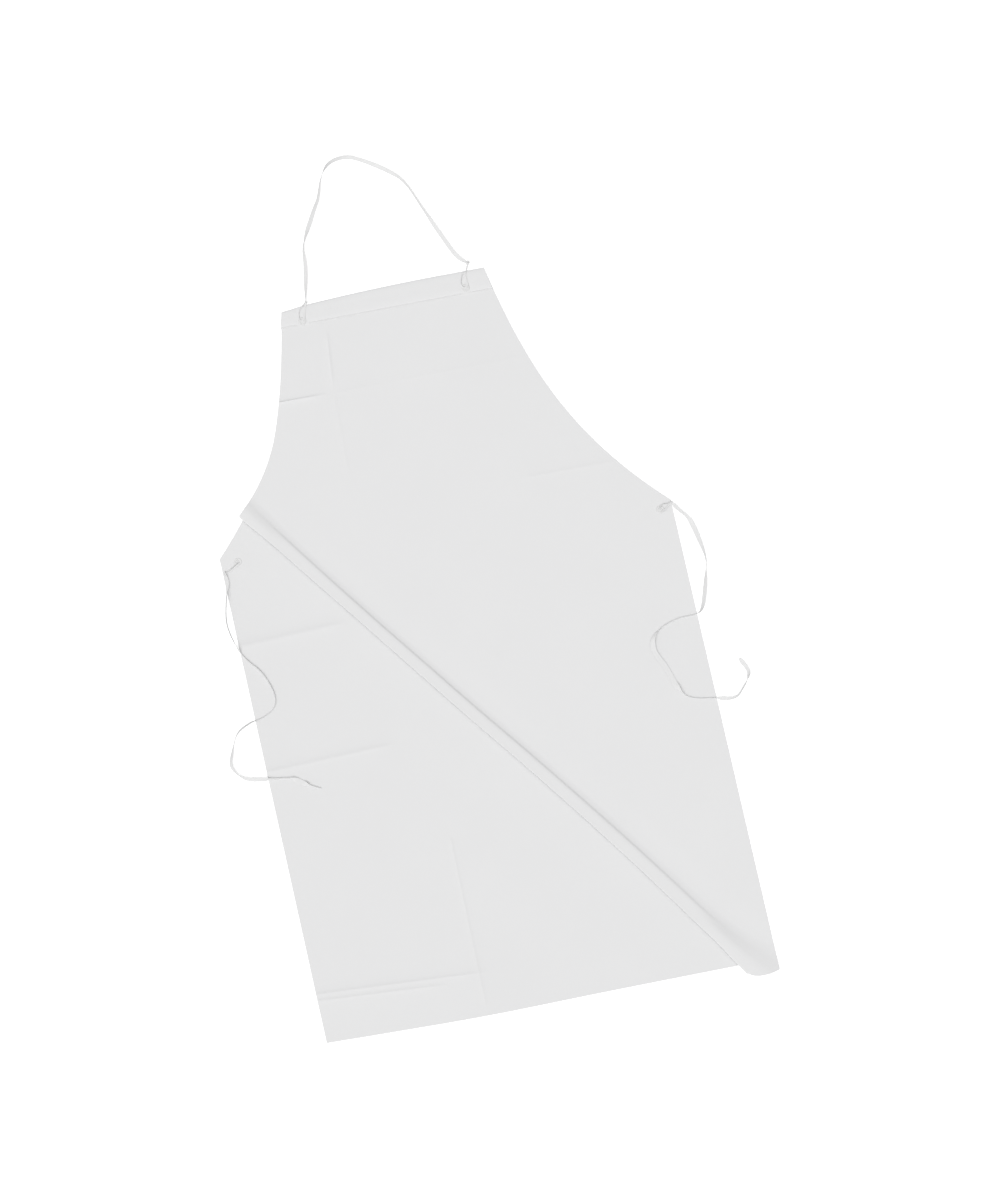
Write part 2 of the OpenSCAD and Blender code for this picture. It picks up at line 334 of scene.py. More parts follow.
def tree_of(points):
    """A tree that finds the nearest of these points in plan."""
    tree = KDTree(len(points))
    for i, p in enumerate(points):
        tree.insert((p[0], p[1], 0), i)
    tree.balance()
    return tree


def triangulate(loop, holes, features, grid, gap):
    """Points and triangles over a loop of cloth, with holes, denser where the feature points are."""
    fixed = [tuple(p) for line in (loop, *holes, features) for p in line]
    near = tree_of(fixed)
    loose = [tuple(p) for p in grid[inside(grid, loop)] if near.find((p[0], p[1], 0))[2] > gap]
    points = fixed + loose
    edges, start = [], 0
    for line in (loop, *holes):
        n = len(line)
        edges += [(start + i, start + (i + 1) % n) for i in range(n)]
        start += n
    verts, _, faces, _, _, _ = delaunay_2d_cdt([Vector(p) for p in points], edges, [], 0, 1e-7)
    verts = np.array([tuple(v) for v in verts])
    tris = np.array([f for f in faces if len(f) == 3])
    mid = verts[tris].mean(axis=1)
    keep = inside(mid, loop)
    for h in holes:
        keep &= ~inside(mid, np.array(h))
    return verts, tris[keep]


def link(name, data):
    """A new object in the scene."""
    obj = bpy.data.objects.new(name, data)
    bpy.context.scene.collection.objects.link(obj)
    return obj


def tube_faces(rings, n):
    """The faces of a closed tube through rings of n points each."""
    faces = [(i * n + k, i * n + (k + 1) % n, (i + 1) * n + (k + 1) % n, (i + 1) * n + k)
             for i in range(rings - 1) for k in range(n)]
    return faces + [tuple(range(n))[::-1], tuple((rings - 1) * n + k for k in range(n))]


def make_object(name, verts, faces, uv=None):
    mesh = bpy.data.meshes.new(name)
    mesh.from_pydata([tuple(v) for v in verts], [], [tuple(int(i) for i in f) for f in faces])
    if uv is not None:
        layer = mesh.uv_layers.new(name="cloth")
        loops = np.zeros(len(mesh.loops), np.int32)
        mesh.loops.foreach_get("vertex_index", loops)
        layer.data.foreach_set("uv", np.asarray(uv)[loops].astype(np.float32).ravel())
    mesh.validate()
    mesh.update()
    return link(name, mesh)


def thicken(obj):
    """A skin as thick as the cloth about its middle, with crisp cut edges."""
    solid = obj.modifiers.new("cloth", "SOLIDIFY")
    solid.thickness = CLOTH_T
    solid.offset = 0
    evaluated = obj.evaluated_get(bpy.context.evaluated_depsgraph_get())
    mesh = bpy.data.meshes.new_from_object(evaluated)
    obj.modifiers.clear()
    obj.data = mesh
    shade(obj, 50)
    return obj


def shade(obj, angle):
    """Smooth shading, but for edges sharper than the angle in degrees."""
    obj.data.shade_smooth()
    obj.data.set_sharp_from_angle(angle=math.radians(angle))


# The sheet.

def crease_frame(a, b):
    """A crease's start in metres, its length, its direction, and the direction square to it."""
    a, b = np.array(a) * MM, np.array(b) * MM
    length = np.linalg.norm(b - a)
    along = (b - a) / length
    return a, length, along, np.array((-along[1], along[0]))


def crease_height(xy):
    """Height of the packing creases: each is a sharp ridge on a broad fold, and fades out at its ends."""
    z = np.zeros(len(xy))
    for a, b, ridge, half, tent, spread in CREASES:
        start, length, along, square = crease_frame(a, b)
        run, side = (xy - start) @ along, (xy - start) @ square
        side = np.abs(side / np.where(side > 0, STEEP, GENTLE)) / MM
        fade = smooth(run / (14 * MM) + 0.3) * smooth((length - run) / (40 * MM))
        shape = ridge * np.exp(-(side / half) ** 1.4) + tent * np.exp(-(side / spread) ** 1.3)
        z += shape * MM * np.where((run > -0.1 * length) & (run < length), fade, 0)
    return z


def undulation(x, y):
    return WAVE_H * sum(share * np.sin(a * x + b * y + phase) for a, b, phase, share in WAVES)


def sheet_surface(tq):
    """The middle of the cloth's thickness at (t, q): it is uneven away from the pleat, hem and eyelets."""
    t, q = tq[:, 0], tq[:, 1]
    p, z = pleat_point(t, q)
    xy = np.outer(t, ALONG) + np.outer(p, BEHIND)
    x, y = xy.T
    free = smooth((TOP_Y - HEM_D - 4 * MM - y) / (30 * MM)) * calm_at_eyelets(x, y, 8 * MM, 20 * MM)
    free = free * smooth((np.abs(q - ROLL_Q / 2) - 22 * MM) / (30 * MM))
    z = z + free * (undulation(x, y) + crease_height(xy) + 0.3 * MM)
    return np.column_stack((x, y + top_droop(x, y), z))


def top_droop(x, y):
    """The top edge is not quite straight between its corners."""
    rows = spline(TOP_DROOP, 8) * MM
    return np.interp(x, rows[:, 0], rows[:, 1]) * smooth((y - TOP_Y + 17 * MM) / (16 * MM))


def crease_points():
    """Rows of points along each crease, on the cloth."""
    out = []
    for a, b, _, half, _, _ in CREASES:
        start, length, along, square = crease_frame(a, b)
        for k in (-3, -1.6, -0.8, 0, 0.8, 1.6, 3):
            line = np.array(densify([start, start + length * along], EDGE_STEP)) + square * k * half * MM
            behind = behind_edge(line)
            for far, upper in ((behind > 45 * MM, True), (behind < -6 * MM, False)):
                if far.any():
                    out += list(to_cloth(line[far], upper))
    return out


def fold_points():
    """Rows of points across the crease that the bib folds along."""
    out = []
    for y in np.arange(-2, 12, 1.5) * MM + FOLD_Y:
        out += [(x, y) for x in np.arange(-220, 222, 4) * MM]
    return list(to_cloth(out, True))


def mesh_rows():
    """The q of each row of points across the cloth: they are closer where the pleat turns."""
    lower = (-35, -31.5, -29, -27.6, -26.6, -25.6, -24.8)
    tuck = (-24, -20, -16, -12.9, -12.2, -11.5, -10, -6.5, -2.2, -1.4, -0.7, 0)
    nose = (0.45, 0.85, 1.2, 1.5, 1.8, 2.1, 2.4, 2.75, 3.2)
    behind = (36, 38.5, 41.5, 45, 50)
    pleat = np.concatenate((lower, tuck, nose, np.arange(4.2, 34, 1.4), behind)) * MM
    first, last = Q_REACH
    return np.concatenate((np.arange(first, -37 * MM, CELL), pleat, np.arange(55 * MM, last, CELL)))


def build_sheet():
    loop = sheet_outline()
    holes = [to_cloth(hole_ring(name), name != "waist_eyelet_left") for name in EYELETS]
    grid = lattice(np.arange(*T_REACH, CELL), mesh_rows())
    features = np.array(crease_points() + fold_points())
    features = clear(features[inside(features, loop)], np.vstack((loop, *holes)), 1.4 * MM)
    verts, tris = triangulate(loop, holes, features, grid, 1.6 * MM)
    uv = np.outer(verts[:, 0], ALONG) + np.outer(verts[:, 1], BEHIND)
    return thicken(make_object("sheet", sheet_surface(verts), tris, uv))


def clear(points, others, gap):
    """The points that lie farther than gap from the others, and not much nearer to each other."""
    tree = tree_of(others)
    kept, cells = [], {}
    for p in points:
        if tree.find((p[0], p[1], 0))[2] < gap:
            continue
        key = (round(p[0] / gap), round(p[1] / gap))
        if any(np.linalg.norm(p - o) < gap * 0.7 for i in (-1, 0, 1) for j in (-1, 0, 1)
               for o in cells.get((key[0] + i, key[1] + j), ())):
            continue
        cells.setdefault(key, []).append(p)
        kept.append(p)
    return kept


# Hem and its stitching.

HEM_Z, HEM_TURN = 1.6 * MM, 0.3 * MM
STITCH_S = 2.4 * MM  # from the hem's lower edge to its row of stitches
STITCH_L, THREAD_R = 3.7 * MM, 0.25 * MM


def armhole_x(y):
    """How far the bib's right edge is from its middle, at a height."""
    pts = right_armhole()
    return np.interp(-y, -pts[:, 1], pts[:, 0])


def hem_depth(x):
    """The hem is a little deeper on the right."""
    return 32.4 * MM + 0.028 * x


def hem_surface(xs):
    """The hem lies on the bib's face and curls over the top edge; s is cloth length from its raw edge."""
    x, s = xs[:, 0], xs[:, 1]
    a = np.clip((s - HEM_D + HEM_TURN) / HEM_TURN, 0, math.pi)
    y = TOP_Y - hem_depth(x) * (1 - np.minimum(s, HEM_D - HEM_TURN) / HEM_D) + HEM_TURN * np.sin(a)
    z = HEM_Z - HEM_TURN + HEM_TURN * np.cos(a)
    # The cloth thins to its edge, sinks at the stitches, puckers between them and puffs up above them.
    edge = 1 - smooth(s / (1.6 * MM))
    stitch = bell(s - STITCH_S, 0.9 * MM)
    puff = smooth((s - STITCH_S) / (8 * MM)) * smooth((HEM_D - s) / (6 * MM))
    pucker = np.sin(x * 2 * math.pi / (9 * MM)) * np.exp(-np.abs(s - STITCH_S) / (4 * MM))
    relief = 0.45 * MM * puff - 0.65 * MM * stitch + 0.08 * MM * pucker
    z = z - 0.25 * MM * edge + calm_at_eyelets(x, y, 6 * MM, 6 * MM) * relief
    return np.column_stack((x, y + top_droop(x, y), z))


def build_hem():
    length = HEM_D + 1.1 * MM
    right = [(armhole_x(TOP_Y - HEM_D + s), s) for s in np.linspace(0, HEM_D, 12)] + [(BIB_HALF, length)]
    left = [(-x, s) for x, s in right[::-1]]
    bottom = [(x, 0) for x in np.linspace(left[-1][0], right[0][0], 90)][1:-1]
    top = [(x, length) for x in np.linspace(BIB_HALF, -BIB_HALF, 90)][1:-1]
    loop = np.array(right + top + left + bottom)
    holes = [[(x, HEM_D * (1 - (TOP_Y - y) / hem_depth(x))) for x, y in hole_ring(name)]
             for name in EYELETS[:2]]
    at_stitches, at_top = (0.7, 1.3, 1.9, 2.4, 2.9, 3.5, 4.2), (28.6, 29.4, 29.8, 30.3, 30.7)
    rows = np.concatenate((at_stitches, np.arange(6, 28, 2.6), at_top)) * MM
    grid = lattice(np.arange(-0.17, 0.17, 2.6 * MM), rows)
    verts, tris = triangulate(loop, holes, [], grid, 0.35 * MM)
    uv = np.column_stack((verts[:, 0], TOP_Y - HEM_D + verts[:, 1]))
    return thicken(make_object("hem", hem_surface(verts), tris, uv))


def stitch_centres():
    """The middle of each stitch of the CAD row, from left to right."""
    xs = sorted(v.co.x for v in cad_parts["hem_stitching"].data.vertices)
    groups = [[xs[0]]]
    for x in xs[1:]:
        if x - groups[-1][-1] > 0.5 * MM:
            groups.append([])
        groups[-1].append(x)
    return [(g[0] + g[-1]) / 2 for g in groups]


def build_stitches():
    """Each stitch is a short plump thread whose ends dive into the cloth."""
    verts, faces, uv = [], [], []
    steps, sides = 9, 8
    for x in stitch_centres():
        faces += [tuple(len(verts) + k for k in face) for face in tube_faces(steps, sides)]
        y = TOP_Y - hem_depth(x) * (1 - STITCH_S / HEM_D)
        for i in range(steps):
            a = i / (steps - 1)
            arch = math.sin(math.pi * a)
            r = THREAD_R * (0.45 + 0.55 * arch**0.5)
            z = 1.3 * MM + 0.33 * MM * arch**0.6
            for k in range(sides):
                b = 2 * math.pi * k / sides
                verts.append((x + (a - 0.5) * STITCH_L, y + r * math.cos(b), z + r * math.sin(b)))
                uv.append((x + a * STITCH_L, b * THREAD_R))
    obj = make_object("stitches", verts, faces, uv)
    shade(obj, 70)
    return obj


# Tapes.

TAPE_W = 8 * MM
TAPE_T = 0.7 * MM
# How much narrower, when on edge, and thinner a tape is drawn on the cloth, where it curls up.
CURL, PRESS = 0.8, 0.45
# The lowest that a free tape lies, so that it clears the uneven sheet when it swings in over it.
TAPE_Z = 1.75 * MM
# Along each tape, distance from its knot in mm and turn from flat in degrees.
NECK_TURN = (
    (0, 102), (15, 118), (27, 138), (44, 146), (62, 138), (80, 114), (92, 107), (101, 122), (112, 148),
    (125, 156), (143, 147), (166, 130), (184, 114), (198, 102), (206, 93), (213, 80), (228, 62), (262, 56),
    (285, 54), (300, 48), (321, 52), (338, 66), (352, 75), (372, 77), (392, 74), (410, 66), (427, 48),
    (446, 42), (469, 44), (491, 46), (502, 56), (508, 66), (512, 70),
)
LEFT_TURN = (
    (0, 30), (8, 14), (17, 12), (25, 30), (32, 80), (38, 94), (56, 94), (76, 97), (104, 98), (116, 84),
    (128, 70), (145, 67), (190, 66), (211, 72), (230, 76), (243, 74), (256, 68), (270, 66), (290, 68),
    (305, 82), (316, 76), (332, 52), (346, 52), (356, 70), (366, 80), (378, 50), (396, 40), (408, 50),
    (420, 62), (430, 70), (440, 62), (446, 32), (452, 8), (460, 4), (466, 22), (472, 62), (484, 76),
    (494, 70), (500, 50),
)
RIGHT_TURN = (
    (0, 30), (8, 44), (16, 56), (28, 60), (36, 44), (46, 22), (60, 26), (76, 46), (88, 64), (98, 80),
    (111, 90), (122, 82), (136, 48), (155, 41), (170, 46), (180, 62), (188, 74), (196, 77), (215, 78),
    (235, 76), (250, 64), (262, 42), (274, 18), (284, 7), (295, 3), (312, 1), (336, 1), (346, 8), (355, 34),
    (364, 64), (376, 78), (395, 81), (406, 80), (414, 72), (420, 50), (430, 50), (438, 62), (450, 73),
    (462, 73), (470, 76), (476, 86), (480, 108), (486, 126), (494, 134), (504, 138), (512, 134), (520, 114),
)
# Each knot: size across in mm and the height of what it lies on.
KNOTS = {
    "neck_knot_left": (4.8, 0), "neck_knot_right": (6.6, 0), "waist_knot_left": (4.2, 1.1),
    "waist_knot_right": (4.4, 1.1),
}
# How far from each knot the tape spreads out to its full width, in mm.
BUNCH = {"neck_knot_left": 9, "neck_knot_right": 7, "waist_knot_left": 44, "waist_knot_right": 9}
# The two legs of each fixed tape end, from its knot into its eyelet, in mm: place from the eyelet's middle,
# height, turn from flat in degrees, and width.
LEGS = {
    "neck_anchor_left": (
        ((4.4, 22.3, 2.6, 55, 2.6), (-1.5, 15.8, 2.7, 46, 2.6), (-3.8, 8.5, 2.7, 42, 2.6),
         (-3.4, 3, 2.8, 50, 2.4), (-1.6, 0.4, 2.2, 60, 2), (-0.6, 0, 1, 60, 2)),
        ((9, 20, 2.4, 15, 3.2), (6, 11, 2.4, 10, 3.6), (4, 4, 2.8, 15, 3.2), (1.8, 0.4, 2.2, 40, 2.4),
         (0.8, 0, 1, 50, 2)),
    ),
    "neck_anchor_right": (
        ((9, 31.5, 2.2, 66, 3.2), (5.8, 25, 3.1, 100, 3), (1.2, 22.6, 3.4, 108, 3.2),
         (-2.6, 15.7, 3.5, 110, 3.2), (-5, 8, 3.4, 112, 3), (-4, 3.4, 3.2, 100, 2.4),
         (-1.8, 0.6, 2.2, 80, 2.2), (-0.8, 0, 1, 80, 2)),
        ((9.4, 31.5, 2, 20, 1.9), (6.4, 25, 2.6, 25, 2), (3.6, 19.5, 2.6, 26, 2.6), (3.8, 12.1, 2.5, 24, 2.6),
         (4, 4.5, 2.6, 28, 2.6), (2, 0.4, 2.2, 60, 2.2), (0.8, 0, 1, 60, 2)),
    ),
    "waist_anchor_left": (
        ((-19.1, -12, 2.4, 104, 2.8), (-10, -7.2, 2.4, 104, 3), (-4, -3.4, 2.8, 100, 2.8),
         (0.2, -1.2, 2.2, 80, 2.4), (1, -0.6, 1, 80, 2)),
        ((-18, -12.8, 1.7, 12, 2.6), (-9, -8.8, 1.8, 8, 2.8), (-2, -4.9, 2.4, 16, 2.6),
         (1.8, -1.6, 2.1, 40, 2.2), (1.2, -0.4, 1, 50, 2)),
    ),
    "waist_anchor_right": (
        ((14.5, 6.9, 2.4, 72, 3), (9.2, 7.1, 2.7, 66, 3.4), (4, 6.4, 2.9, 64, 3.6), (-0.4, 3.4, 2.8, 66, 3),
         (-1.4, 0.8, 2.2, 70, 2.4), (-0.8, 0, 1, 80, 2)),
        ((14, 4, 1.8, 10, 3), (9.5, 0.6, 2, 10, 3.2), (5, -2.6, 2.4, 18, 2.6), (1.8, -1.6, 2.1, 40, 2.2),
         (0.8, -0.4, 1, 50, 2)),
    ),
}


def tape_line(node):
    """The middle line of a CAD tape, in plan: both sides of its top face are walked from one end."""
    bm = bmesh.new()
    bm.from_mesh(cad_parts[node].data)
    bmesh.ops.remove_doubles(bm, verts=bm.verts, dist=1e-6)
    top = {f for f in bm.faces if f.normal.z > 0.9}
    rim = [e for e in bm.edges if sum(f in top for f in e.link_faces) == 1]
    neighbours = {}
    for e in rim:
        a, b = e.verts
        neighbours.setdefault(a, []).append(b)
        neighbours.setdefault(b, []).append(a)
    ends = [e for e in rim if abs(e.calc_length() - TAPE_W) < 0.02 * MM and is_end(e, neighbours)]
    start = min(ends, key=lambda e: e.verts[0].co.x).verts
    left, right = [start[0]], [start[1]]
    for side, previous in ((left, start[1]), (right, start[0])):
        while len(side) < len(neighbours) // 2:
            following = next(v for v in neighbours[side[-1]] if v is not previous)
            previous = side[-1]
            side.append(following)
    line = [((a.co + b.co) / 2).to_2d() for a, b in zip(left, right)]
    bm.free()
    return [np.array(p) for p in line]


def is_end(edge, neighbours):
    """True if the rim turns a square corner at both ends of this edge."""
    a, b = edge.verts
    d = (b.co - a.co).normalized()
    for v, w in ((a, b), (b, a)):
        other = next(o for o in neighbours[v] if o is not w)
        if abs((other.co - v.co).normalized().dot(d)) > 0.5:
            return False
    return True


def from_knot(line, knot):
    """The tape's line, started inside its knot."""
    k = np.array(centre(knot).to_2d())
    if np.linalg.norm(line[0] - k) > np.linalg.norm(line[-1] - k):
        line = line[::-1]
    return [k] + line


def resample(points, step):
    """Rows at even steps along the line of their first three columns, or two, and each row's distance."""
    p = np.array(points, float)
    s = np.concatenate(([0], np.cumsum(np.linalg.norm(np.diff(p[:, :3], axis=0), axis=1))))
    n = max(2, round(s[-1] / step))
    at = np.linspace(0, s[-1], n + 1)
    return np.column_stack([np.interp(at, s, p[:, k]) for k in range(p.shape[1])]), at


def rest_height(xy, loop, upper):
    """Height of the tape's underside, just over the cloth inside the loop and at TAPE_Z outside it, and how
    far it is on the cloth."""
    on = inside(xy, loop).astype(float)
    reach = 9
    kernel = np.hanning(2 * reach + 1)
    blurred = np.convolve(np.pad(on, reach, mode="edge"), kernel / kernel.sum(), mode="valid")
    on = np.maximum(on, smooth(blurred * 1.4))
    top = sheet_surface(to_cloth(xy, upper))[:, 2] + CLOTH_T / 2 + 0.1 * MM
    return TAPE_Z + on * (np.maximum(top, TAPE_Z) - TAPE_Z), on


def tape_profile():
    """The tape's section, in shares of its half width and of its thickness: its edges are plumper."""
    half = [(-0.93, 0.42), (-0.8, 0.5), (-0.4, 0.46), (0, 0.44), (0.4, 0.46), (0.8, 0.5), (0.93, 0.42)]
    return [(-1, 0), *half, (1, 0), *((a, -b) for a, b in reversed(half))]


def ribbon(name, points, tilt, widths, thickness=TAPE_T):
    """A woven ribbon along points; tilt is the turn from flat at each point, in radians."""
    p = np.array(points, float)
    thickness = np.broadcast_to(thickness, len(p))
    forward = np.gradient(p, axis=0)
    forward /= np.linalg.norm(forward, axis=1)[:, None]
    across = np.cross((0, 0, 1), forward)
    across /= np.maximum(np.linalg.norm(across, axis=1), 1e-6)[:, None]
    lift = np.cross(forward, across)
    c, s = np.cos(tilt)[:, None], np.sin(tilt)[:, None]
    wide, thin = across * c + lift * s, lift * c - across * s
    run = np.concatenate(([0], np.cumsum(np.linalg.norm(np.diff(p, axis=0), axis=1))))
    profile, verts, uv = tape_profile(), [], []
    for i in range(len(p)):
        for a, b in profile:
            verts.append(p[i] + wide[i] * a * widths[i] / 2 + thin[i] * b * thickness[i])
            uv.append((a * TAPE_W / 2, run[i]))
    obj = make_object(name, verts, tube_faces(len(p), len(profile)), uv)
    shade(obj, 60)
    return obj


def knot_centre(node):
    """The middle of a knot that rests on what is under it."""
    c, (size, under) = centre(node), KNOTS[node]
    return np.array((c.x, c.y, (under + size / 2) * MM))


def spread(d, share, reach):
    """A tape's share of its full width, at a distance from where it is pinched to this share."""
    return share + (1 - share) * smooth(d / reach)


def tape(name, node, knots, turns, loop, upper):
    """A free tape: it follows the CAD tape's line, turning on its edge and flat again."""
    line = from_knot(tape_line(node), knots[0])
    if len(knots) == 2:
        line = line + [np.array(centre(knots[1]).to_2d())]
    xy, run = resample(spline(line, 3), 1.5 * MM)
    curve = spline(turns, 10)
    tilt = np.radians(np.interp(run, curve[:, 0] * MM, curve[:, 1]))
    rest, on = rest_height(xy, loop, upper)
    widths = TAPE_W * (1 - CURL * on * np.sin(tilt) ** 2)
    thickness = TAPE_T * (1 - PRESS * on)
    z = rest + np.abs(np.sin(tilt)) * widths / 2 + np.abs(np.cos(tilt)) * thickness / 2
    # It comes out of each knot bunched up and at the knot's height, and a loose end is pinched.
    for d, knot in zip((run, run[-1] - run), knots):
        widths = widths * spread(d, 0.35, BUNCH[knot] * MM)
        near = smooth(d / (14 * MM))
        z = knot_centre(knot)[2] * (1 - near) + z * near
    if len(knots) == 1:
        widths = widths * spread(run[-1] - run, 0.55, 6 * MM)
    return ribbon(name, np.column_stack((xy, z)), tilt, widths, thickness)


def build_knot(name, node, towards):
    """An overhand knot: the tape, bunched up, follows an open trefoil."""
    radius = KNOTS[node][0] / 2 * MM
    a = np.linspace(0, 2 * math.pi, 97)
    a[-1] = 0
    x, y, z = np.sin(a) + 2 * np.sin(2 * a), np.cos(a) - 2 * np.cos(2 * a), -1.9 * np.sin(3 * a)
    c, s = np.array(towards) / np.linalg.norm(towards)
    spin = np.array(((c, -s, 0), (s, c, 0), (0, 0, 1)))
    p = np.column_stack((1.15 * x, 0.9 * y, 0.95 * z)) @ spin.T * (radius - 0.6 * MM) / 3 + knot_centre(node)
    tilt = np.radians(35 + 40 * np.sin(2 * a))
    return ribbon(name, p, tilt, np.full(len(a), radius * 0.8), 1.1 * MM)


def build_anchor(name, node, eyelet, knot):
    """The fixed end of a tape: two legs that run from the knot over the sheet and down into the eyelet."""
    middle = centre(eyelet)
    parts = []
    for side, rows in zip("ab", LEGS[node]):
        rows = np.array(rows) * (MM, MM, MM, 1, MM) + (middle.x, middle.y, 0, 0, 0)
        rows = np.vstack(((*knot_centre(knot), rows[0, 3], 2.4 * MM), rows))
        path, _ = resample(spline(rows, 8), 0.8 * MM)
        parts.append(ribbon(name + "_" + side, path[:, :3], np.radians(path[:, 3]), path[:, 4]))
    # Where the legs meet, the tape fills the eyelet.
    n, half, slant = 11, 2.8 * MM, 0.3
    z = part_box(eyelet)[1].z - 0.45 * MM
    fill = [(middle.x + x, middle.y + slant * x, z) for x in np.linspace(-half, half, n)]
    round_off = np.cos(np.linspace(-1.2, 1.2, n)) ** 0.6
    parts.append(ribbon(name + "_fill", fill, np.full(n, 0.05), 2 * half * round_off, 0.6 * MM))
    return join(name, parts)


def join(name, parts):
    """One object in place of the parts."""
    bm = bmesh.new()
    for part in parts:
        bm.from_mesh(part.data)
    mesh = bpy.data.meshes.new(name)
    bm.to_mesh(mesh)
    bm.free()
    for part in parts:
        bpy.data.objects.remove(part)
    obj = link(name, mesh)
    shade(obj, 60)
    return obj


# Materials.

def node_material(name):
    """A new material, its node tree, and its Principled shader."""
    material = bpy.data.materials.new(name)
    material.use_nodes = True
    tree = material.node_tree
    tree.nodes.clear()
    out = tree.nodes.new("ShaderNodeOutputMaterial")
    shader = tree.nodes.new("ShaderNodeBsdfPrincipled")
    tree.links.new(shader.outputs[0], out.inputs[0])
    return material, tree, shader


def feed(tree, node, inputs):
    """Set a node's inputs, each to a value or to another node's output."""
    for key, value in inputs.items():
        if isinstance(value, bpy.types.NodeSocket):
            tree.links.new(value, node.inputs[key])
        else:
            node.inputs[key].default_value = value


def add(tree, kind, inputs=None, output=0, **settings):
    """Add a node, and return one of its outputs."""
    node = tree.nodes.new(kind)
    for key, value in settings.items():
        setattr(node, key, value)
    feed(tree, node, inputs or {})
    return node.outputs[output]


def maths(tree, operation, *values):
    return add(tree, "ShaderNodeMath", dict(enumerate(values)), operation=operation)


def weave_height(tree, vector, pitch, slope):
    """Height of a twill weave: diagonal ribs, cut across by the threads."""
    split = tree.nodes.new("ShaderNodeSeparateXYZ")
    feed(tree, split, {0: vector})
    u, v = split.outputs[0], split.outputs[1]
    across = maths(tree, "MULTIPLY_ADD", u, slope, v)
    rib = maths(tree, "SINE", maths(tree, "MULTIPLY", across, 2 * math.pi / pitch))
    thread = maths(tree, "SINE", maths(tree, "MULTIPLY", u, 4 * math.pi / pitch))
    return maths(tree, "MULTIPLY_ADD", rib, 0.6, maths(tree, "MULTIPLY", thread, 0.25))


def cloth_material(name, colour, pitch, slope, depth, roughness=0.9, sheen=0.12, mottle=0.02):
    """Woven cloth: twill ribs in the bump and, faintly, in the colour, with slubs and slight mottling."""
    material, tree, shader = node_material(name)
    uv = add(tree, "ShaderNodeUVMap", uv_map="cloth")
    weave = weave_height(tree, uv, pitch, slope)
    slub = add(tree, "ShaderNodeTexNoise", {"Vector": uv, "Scale": 900.0, "Detail": 2.0})
    broad = add(tree, "ShaderNodeTexNoise", {"Vector": uv, "Scale": 9.0, "Detail": 3.0})
    height = maths(tree, "MULTIPLY_ADD", slub, 0.9, weave)
    shift = maths(tree, "MULTIPLY", maths(tree, "SUBTRACT", broad, 0.5), mottle)
    shift = maths(tree, "MULTIPLY_ADD", weave, 0.012, shift)
    value = maths(tree, "ADD", shift, 1.0)
    grey = add(tree, "ShaderNodeCombineXYZ", {0: value, 1: value, 2: value})
    # 6 and 7 are the mix node's colours, and 2 is their product.
    tint = add(tree, "ShaderNodeMix", {"Factor": 1.0, 6: (*colour, 1), 7: grey}, output=2,
               data_type="RGBA", blend_type="MULTIPLY")
    feed(tree, shader, {
        "Base Color": tint,
        "Normal": add(tree, "ShaderNodeBump", {"Strength": 0.5, "Distance": depth, "Height": height}),
        "Roughness": maths(tree, "MULTIPLY_ADD", slub, 0.08, roughness - 0.04),
        "Specular IOR Level": 0.15,
        "Sheen Weight": sheen,
        "Sheen Roughness": 0.5,
    })
    return material


def enamel_material():
    """White enamel on a pressed ring, a little dulled where it is handled."""
    material, tree, shader = node_material("enamel")
    position = add(tree, "ShaderNodeTexCoord", output="Object")
    spots = add(tree, "ShaderNodeTexNoise", {"Vector": position, "Scale": 700.0, "Detail": 3.0})
    ramp = tree.nodes.new("ShaderNodeValToRGB")
    ramp.color_ramp.elements[0].color = (0.67, 0.67, 0.67, 1)
    ramp.color_ramp.elements[1].color = (0.74, 0.74, 0.735, 1)
    feed(tree, ramp, {0: spots})
    feed(tree, shader, {
        "Base Color": ramp.outputs[0],
        "Normal": add(tree, "ShaderNodeBump", {"Strength": 0.2, "Distance": 0.05 * MM, "Height": spots}),
        "Roughness": maths(tree, "MULTIPLY_ADD", spots, 0.3, 0.35),
        "Specular IOR Level": 0.25,
    })
    return material


def dress(obj, material):
    obj.data.materials.clear()
    obj.data.materials.append(material)


SHEET = cloth_material("sheet_cloth", (0.745, 0.745, 0.748), 0.9 * MM, 0.5, 0.06 * MM)
TAPE = cloth_material("tie_tape", (0.745, 0.745, 0.746), 1.1 * MM, 1.0, 0.1 * MM, mottle=0.03)
THREAD = cloth_material("sewing_thread", (0.745, 0.745, 0.746), 0.35 * MM, 1.0, 0.04 * MM, roughness=0.7)
ENAMEL = enamel_material()


# Build and place the pieces.

def place(obj, material, slot, *nodes):
    """Dress a piece and hide the CAD nodes it stands for. The slot is not used."""
    dress(obj, material)
    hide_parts(*nodes)


def build_cloth():
    """The sheet, with rows of points along the crease where the bib folds up; the hem and its stitches go
    with the bib.
    """
    sheet = build_sheet()
    place(sheet, SHEET, "sheet_cloth", "skirt_panel", "bib_panel")
    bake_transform(sheet)
    hem = build_hem()
    place(hem, SHEET, "sheet_cloth", "top_hem")
    stitches = build_stitches()
    place(stitches, THREAD, "sewing_thread", "hem_stitching")
    for piece in (hem, stitches):
        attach(piece, "bib")


